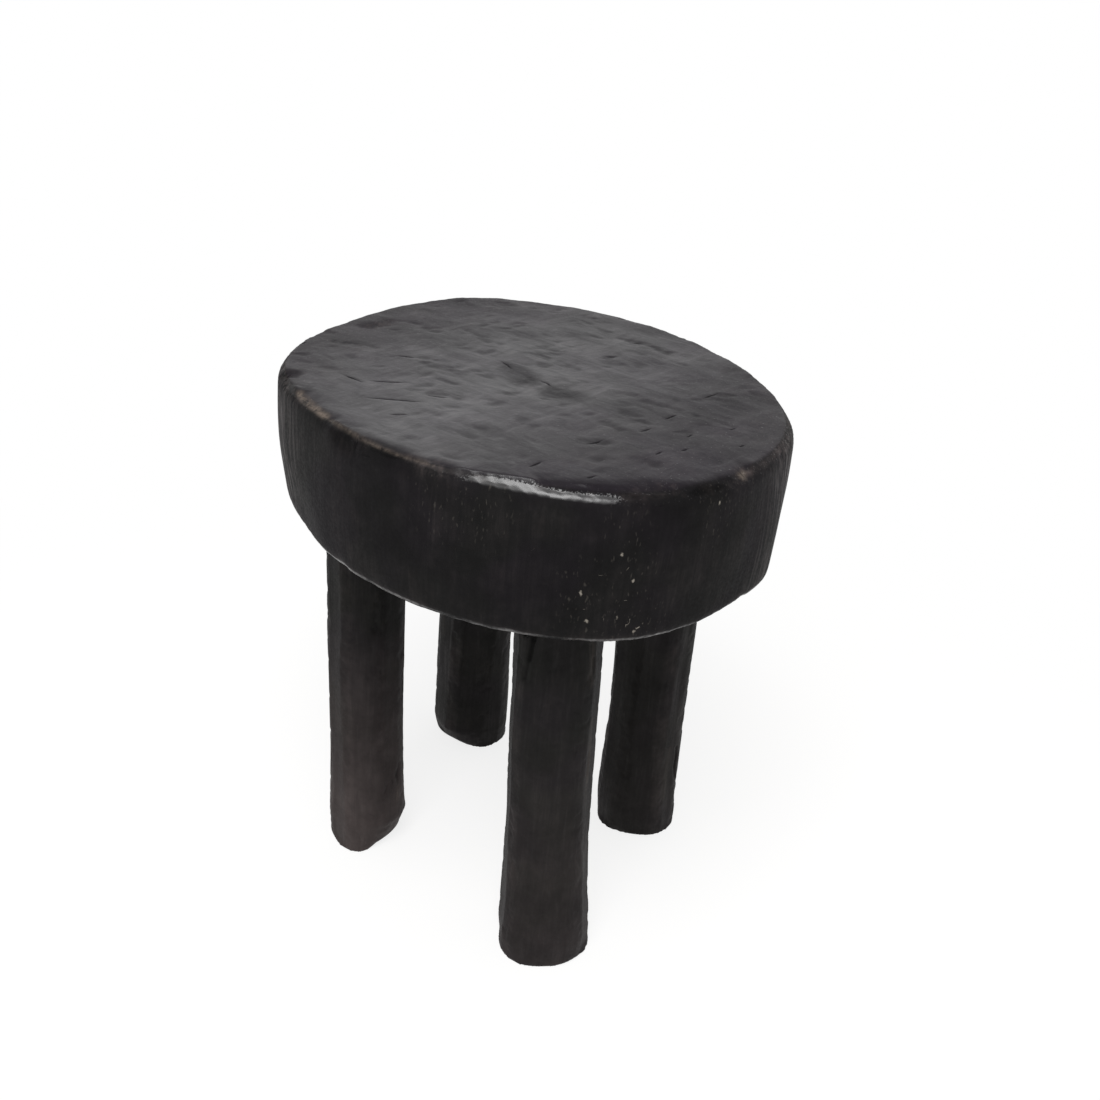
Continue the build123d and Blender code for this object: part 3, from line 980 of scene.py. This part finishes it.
    # Brown shows through in streaks, on rubbed edges and towards the feet. The pale streaks at the
    # seat's ends are partly scuffs and partly painted sheen.
    scuff_and_sheen_brown, knock_brown, edge_brown = 0.55, 0.55, 0.4
    torn_side = add(tree, "ShaderNodeMapRange", {"Value": topside, 3: 1.0, 4: 0.3})
    streaky = add(tree, "ShaderNodeMath", {0: mask["streak"], 1: mask["patch"]},
                  operation="MULTIPLY")
    shown = [
        fold(tree, "ShaderNodeMath", parts, operation="MULTIPLY")
        for parts in (
            (streaky, amounts["brown"]),
            (kept["scuff"], mask["hair"], torn_side, scuff_and_sheen_brown),
            # Brown towards the feet; the smaller share on the back legs is painted shade under the
            # seat.
            (mask["low"], kept["rubbed"]),
            (kept["worn"], streaky, knock_brown),
            (kept["edge"], mask["patch"], edge_brown),
            (mask["on ridge"], kept["ridge"]),
        )
    ]
    brown = fold(tree, "ShaderNodeMath", shown, operation="ADD", use_clamp=True)
    # Broad patches of the black lean to green, others to violet.
    greenish, violet = (0.98, 1.0, 0.95, 1.0), (1.04, 0.98, 1.05, 1.0)
    ground = add(tree, "ShaderNodeMix",
                 {0: topside, 1: (*black, 1.0), 2: (*look.polished_black, 1.0)},
                 data_type="RGBA")
    tinge = add(tree, "ShaderNodeMix", {0: mask["cast"], 1: greenish, 2: violet},
                data_type="RGBA")
    ground = add(tree, "ShaderNodeVectorMath", {0: ground, 1: tinge}, operation="MULTIPLY")
    colour = add(tree, "ShaderNodeMix", {0: brown, 1: ground, 2: (*look.bare_wood, 1.0)},
                 data_type="RGBA")

    # Painted shade darkens the chips, the cuts and the darker patches of the rim;
    # the heart of the trunk holds old soot.
    chip_shade = 0.36
    painted_chip_shade, soot_and_rim_shade, painted_rim_shade = [
        add(tree, "ShaderNodeMath", {0: first, 1: second}, operation="MULTIPLY")
        for first, second in (
            (kept["chip"], chip_shade), (kept["smudge"], mask["clotted"]),
            (mask["painted_rim_shade"], off_top))
    ]
    soot_and_painted_shade = fold(tree, "ShaderNodeMath", (painted_chip_shade, cut, soot_and_rim_shade, painted_rim_shade), operation="MAXIMUM")
    dark = add(tree, "ShaderNodeMapRange", {"Value": soot_and_painted_shade, 3: 1.0, 4: 0.35})
    tone = fold(tree, "ShaderNodeMath", (dark, mask["shade"], mask["lines"]),
                operation="MULTIPLY")
    colour = add(tree, "ShaderNodeVectorMath", {0: colour, "Scale": tone}, operation="SCALE")

    # Raw wood on the worst of the rim, broken up by its own grain.
    raw = fold(tree, "ShaderNodeMath", (kept["bare"], mask["ragged"], amounts["raw"]),
               operation="MULTIPLY")
    colour = add(tree, "ShaderNodeMix", {0: raw, 1: colour, 2: (*look.raw_wood, 1.0)},
                 data_type="RGBA")

    # Pale flecks lodged in the grain, torn at their edges, and dusty pits round them.
    torn_by, fleck_fades, fleck_full = 3 * mm, 2.5 * mm, 1.7 * mm
    torn = add(tree, "ShaderNodeMath", {0: grit, 1: torn_by, 2: from_dust},
               operation="MULTIPLY_ADD")
    fleck = add(tree, "ShaderNodeMapRange", {
        "Value": torn, 1: fleck_fades, 2: fleck_full, 4: 0.85})
    pits = add(tree, "ShaderNodeMapRange", {"Value": pits, 1: 0.64, 2: 0.76, 4: mask["around"]})
    fleck = add(tree, "ShaderNodeMath", {0: fleck, 1: pits}, operation="MAXIMUM")
    fleck = add(tree, "ShaderNodeMath", {0: fleck, 1: off_top}, operation="MULTIPLY")
    colour = add(tree, "ShaderNodeMix", {0: fleck, 1: colour, 2: (*look.dust, 1.0)},
                 data_type="RGBA")

    # Wax: a full film on the top face and a thinner one on the bevel.
    film, on_bevel = [
        fold(tree, "ShaderNodeMath", parts, operation="MULTIPLY")
        for parts in (
            (topside, mask["thin"], look.top_wax, mask["wiped"]),
            (mask["sloping"], reached, mask["smeared"], look.bevel_wax),
        )
    ]
    film = add(tree, "ShaderNodeMath", {0: film, 1: on_bevel}, operation="MAXIMUM")
    film = add(tree, "ShaderNodeMath", {0: film, 1: mask["unworn"]}, operation="MULTIPLY")
    # It is thick where hands have polished the bevel, and ragged at the ends of that stretch.
    ragged_by, ragged_base, polish_gain = 2.6, -1.2, 1.6
    ragged = add(tree, "ShaderNodeMath", {0: specks, 1: ragged_by, 2: ragged_base},
                 operation="MULTIPLY_ADD")
    thick = add(tree, "ShaderNodeMath", {0: kept["polish"], 1: polish_gain, 2: ragged},
                operation="MULTIPLY_ADD")
    thick = add(tree, "ShaderNodeMapRange", {"Value": thick, 1: 0.5, 2: 0.9})
    thick = add(tree, "ShaderNodeMath", {0: thick, 1: mask["slanting"]}, operation="MULTIPLY")
    # Streaks of it are left on the sides, and a thin bright line where the seat's lower edge
    # turns under, from being held and lifted.
    seat_only = add(tree, "ShaderNodeMath", {0: up, 1: leg_height - 1 * mm},
                    operation="GREATER_THAN")
    sides, held_edge = [
        fold(tree, "ShaderNodeMath", parts, operation="MULTIPLY")
        for parts in (
            (mask["hair"], mask["streak"], mask["ends"], look.side_wax),
            (mask["turning"], mask["turned"], mask["uneven"], mask["frayed"], seat_only),
        )
    ]
    sides = add(tree, "ShaderNodeMath", {0: sides, 1: amounts["even wax"]}, operation="ADD")
    wax = fold(tree, "ShaderNodeMath", (film, thick, sides, held_edge), operation="MAXIMUM")
    # Less wax where the soot and the painted shade lie, so that these stay dark.
    thin_wax_in_soot_and_shade = add(tree, "ShaderNodeMapRange", {"Value": soot_and_painted_shade, 3: 1.0, 4: 0.2})
    whole = add(tree, "ShaderNodeMapRange", {"Value": raw, 3: 1.0, 4: 0.4})
    wax = fold(tree, "ShaderNodeMath", (wax, thin_wax_in_soot_and_shade, whole, mask["cloudy"]),
               operation="MULTIPLY", use_clamp=True)

    # Relief too fine for the mesh. The thick wax of the polished stretch fills the grain.
    open_grain = add(tree, "ShaderNodeMapRange", {"Value": thick, 3: 0.6, 4: 0.12})
    open_grit = add(tree, "ShaderNodeMapRange", {"Value": thick, 3: 0.4, 4: 0.15})
    surface = None
    for height, strength, depth, sunk in (
        (fibre, open_grain, 0.3 * mm, False), (stroke, topside, 0.35 * mm, False),
        (cut, 0.8, 0.5 * mm, True), (grit, open_grit, 0.15 * mm, False),
    ):
        relief = {"Strength": strength, "Distance": depth, "Height": height}
        if surface:
            relief["Normal"] = surface
        surface = add(tree, "ShaderNodeBump", relief, invert=sunk)

    # Soot hardly mirrors the light, and the wax over it does.
    wood = add(tree, "ShaderNodeBsdfPrincipled", {
        "Base Color": colour, "Roughness": mask["dull"], "Specular IOR Level": 0.04,
        "Coat Weight": wax, "Coat Roughness": 0.3, "Coat IOR": 1.6,
        "Normal": surface, "Coat Normal": surface,
    })
    add(tree, "ShaderNodeOutputMaterial", {"Surface": wood})
    return material


def tool_values(carving, facet, cut, *own):
    """Tree inputs of a piece: its facets and cuts, and settings that bear the input's name."""
    values = dict(zip(("Facet Width", "Facet Height", "Facet Depth"), facet))
    values.update(zip(("Cut Width", "Cut Depth"), cut))
    shared = ("swell_length", "swell_depth", "knock_depth", "chip_length", "chip_width",
              "chipped_share", "stroke_bearing")
    for setting in (*shared, *own):
        values[carving.bl_rna.properties[setting].name] = getattr(carving, setting)
    return values


class STOOL_OT_hew_seat(bpy.types.Operator):
    """Carve the seat: adzed top, faceted side and knocked bevel"""

    bl_idname = "stool.hew_seat"
    bl_label = "Hew Seat"

    def execute(self, context):
        carving = context.scene.stool_carving
        look = context.scene.stool_finish
        # Smoked and waxed hardwood, worked with an adze: near black, with a soft sheen where
        # hands and clothes have polished it, and brown where the black has rubbed thin. The pale
        # streaks at its ends are partly painted sheen.
        wood = wood_material("Blackened hardwood, adzed and waxed", look, look.soot, {
            "brown": 0.15, "scuffed": 0.1, "even wax": 0.02, "fibres": 0.07,
            "cut": (1.1 * mm, 0.3 * mm), "raw": 0.7,
        })
        piece = remeshed("seat", carving.seat_mesh)
        refine_above(piece, seat_top - finely_meshed)
        values = tool_values(carving, carving.seat_facet, carving.seat_cut,
                             "chip_depth", "dish_depth", "scoop_depth", "bevel_cut")
        for name, paths in (
            ("Knocks", knocks), ("Rubs", rubs), ("Polish", polish), ("Dust", dust),
            ("Smudges", soot_and_shade_lines), ("Scuffs", scuffs_and_sheen),
        ):
            values[name] = line_object(in_metres(paths), name)
        carve(piece, {
            **values, "Scoops": line_object(scoop_lines(), "Scoops"),
            "Cuts": cut_lines(seat_cuts(), "Cuts"),
            "Joined To": as_object(joined_shape(*legs), "legs_to_clear"),
            "Flat Depth": no_flats, "Seed": carving.seed, "Wood": wood,
        })
        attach(piece, "root")
        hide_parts("seat")
        return {"FINISHED"}


class STOOL_OT_hew_legs(bpy.types.Operator):
    """Carve the four legs with long flats, small facets and gouges"""

    bl_idname = "stool.hew_legs"
    bl_label = "Hew Legs"

    def execute(self, context):
        carving = context.scene.stool_carving
        look = context.scene.stool_finish
        # The same hardwood, hewn and left unwaxed: dull, streaked along the fibres, and browner
        # towards the feet, where it is kicked and wiped.
        wood = wood_material("Blackened hardwood, hewn and dry", look, look.dry_soot, {
            "brown": 0.12, "scuffed": 0.3, "even wax": 0.05, "fibres": 0.05,
            "cut": (3.6 * mm, 1.8 * mm), "raw": 0.14,
        })
        for number, (name, leg) in enumerate(legs.items(), start=1):
            piece = remeshed(name, carving.leg_mesh)
            foot, shoulder = [Vector(leg[end]).to_3d() * mm for end in ("foot", "shoulder")]
            carve(piece, {
                **tool_values(carving, carving.leg_facet, carving.leg_cut),
                "Cuts": cut_lines(leg_lines(piece, leg, leg["cuts"]), "Cuts"),
                "Rubs": cut_lines(leg_lines(piece, leg, leg["rubs"]), "Rubs"),
                "Joined To": as_object(joined_shape("seat"), "seat_to_clear"),
                "Flat Depth": carving.leg_flat, "Foot": foot, "Shoulder": shoulder,
                "Ridge": radians(leg["ridge"]), "Rubbed": leg["rubbed"],
                "Seed": carving.seed + number, "Wood": wood,
            })
            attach(piece, "root")
            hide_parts(name)
        return {"FINISHED"}


class STOOL_OT_set_stage(bpy.types.Operator):
    """Set the camera, the floor, the softbox and the even light"""

    bl_idname = "stool.set_stage"
    bl_label = "Set Stage"

    def execute(self, context):
        scene = context.scene
        studio = scene.stool_studio
        scene.view_settings.view_transform = "Standard"

        camera = bpy.data.objects.new("camera", bpy.data.cameras.new("camera"))
        camera.data.lens = studio.focal_length
        camera.data.clip_end = farthest_seen
        camera.matrix_world = (
            Matrix.Translation(studio.eye)
            @ Matrix.Rotation(studio.heading, 4, "Z")
            @ Matrix.Rotation(pi / 2 - studio.dip, 4, "X")
            @ Matrix.Rotation(studio.roll, 4, "Z")
        )
        scene.collection.objects.link(camera)
        scene.camera = camera

        lamp = bpy.data.objects.new("softbox", bpy.data.lights.new("softbox", "AREA"))
        lamp.data.shape = "SQUARE"
        lamp.data.size = studio.lamp_width
        lamp.data.energy = studio.lamp_power
        towards = Vector((
            cos(studio.lamp_height) * cos(studio.lamp_bearing),
            cos(studio.lamp_height) * sin(studio.lamp_bearing),
            sin(studio.lamp_height),
        ))
        lamp.location = Vector((0, 0, seat_top)) + towards * studio.lamp_distance
        lamp.rotation_euler = towards.to_track_quat("Z", "Y").to_euler()
        scene.collection.objects.link(lamp)

        self.set_world(scene, studio)
        self.lay_floor(studio)
        return {"FINISHED"}

    def looked_at(self, tree):
        """1 where the camera looks, straight, in a reflection or through glass, else 0."""
        path = add(tree, "ShaderNodeLightPath").outputs
        rays = (path["Is Camera Ray"], path["Is Glossy Ray"], path["Is Transmission Ray"])
        return fold(tree, "ShaderNodeMath", rays, operation="MAXIMUM")

    def set_world(self, scene, studio):
        """White to the camera and in reflections, and an even soft light on the object."""
        world = bpy.data.worlds.new("studio")
        tree = emptied_tree(world)
        scene.world = world
        strength = add(tree, "ShaderNodeMapRange", {
            "Value": self.looked_at(tree), 3: studio.sky, 4: 1.0})
        light = add(tree, "ShaderNodeBackground", {"Color": white, "Strength": strength})
        add(tree, "ShaderNodeOutputWorld", {"Surface": light})

    def lay_floor(self, studio):
        """A round pale floor that fades to plain white away from the stool."""
        shape = bmesh.new()
        bmesh.ops.create_circle(shape, cap_ends=True, segments=floor_disc_sides,
                                radius=studio.floor_width / 2)
        floor = as_object(shape, "floor")
        # Painted studio floor: pale and matt, so the eye sees only the stool's soft shadow on it.
        material = bpy.data.materials.new("Pale studio floor")
        tree = emptied_tree(material)
        seen = self.looked_at(tree)
        place = add(tree, "ShaderNodeTexCoord").outputs["Object"]
        away = add(tree, "ShaderNodeVectorMath", {0: place}, operation="LENGTH")
        fade = add(tree, "ShaderNodeMapRange", {
            "Value": away.outputs["Value"], 1: fade_start, 2: fade_end},
            interpolation_type="SMOOTHSTEP")
        # To the eye the floor is mostly its own white, and the rest is lit and holds the shadow.
        lit_share, own_white = [
            add(tree, "ShaderNodeMapRange", {"Value": fade, 3: near, 4: far})
            for near, far in ((0.35, 0.0), (0.8, 1.0))
        ]
        glare = add(tree, "ShaderNodeMath", {0: own_white, 1: seen}, operation="MULTIPLY")
        share = add(tree, "ShaderNodeMix", {0: seen, 1: 1.0, 2: lit_share})
        colour = add(tree, "ShaderNodeVectorMath", {0: studio.floor_colour, "Scale": share},
                     operation="SCALE")
        lit = add(tree, "ShaderNodeBsdfDiffuse", {"Color": colour})
        glow = add(tree, "ShaderNodeEmission", {"Color": white, "Strength": glare})
        both = add(tree, "ShaderNodeAddShader", {0: lit, 1: glow})
        add(tree, "ShaderNodeOutputMaterial", {"Surface": both})
        floor.data.materials.append(material)


class STOOL_PT_panel(bpy.types.Panel):
    """Lists the steps and their settings"""

    bl_idname = "STOOL_PT_panel"
    bl_label = "Hand-carved Stool"
    bl_space_type = "VIEW_3D"
    bl_region_type = "UI"
    bl_category = "Stool"

    def draw(self, context):
        for group, steps in (
            (context.scene.stool_carving, (STOOL_OT_hew_seat, STOOL_OT_hew_legs)),
            (context.scene.stool_finish, ()),
            (context.scene.stool_studio, (STOOL_OT_set_stage,)),
        ):
            box = self.layout.box()
            for name in group.__annotations__:
                box.prop(group, name)
            for step in steps:
                box.operator(step.bl_idname)


groups = {"stool_carving": StoolCarving, "stool_finish": StoolFinish, "stool_studio": StoolStudio}
classes = (
    *groups.values(), STOOL_OT_hew_seat, STOOL_OT_hew_legs, STOOL_OT_set_stage, STOOL_PT_panel,
)


def register():
    for item in classes:
        bpy.utils.register_class(item)
    for name, group in groups.items():
        setattr(bpy.types.Scene, name, PointerProperty(type=group))


def unregister():
    for name in groups:
        delattr(bpy.types.Scene, name)
    for item in reversed(classes):
        bpy.utils.unregister_class(item)


def main():
    """Builds the whole scene."""
    register()
    bpy.ops.stool.set_stage()
    bpy.ops.stool.hew_seat()
    bpy.ops.stool.hew_legs()


if __name__ == "__main__":
    main()
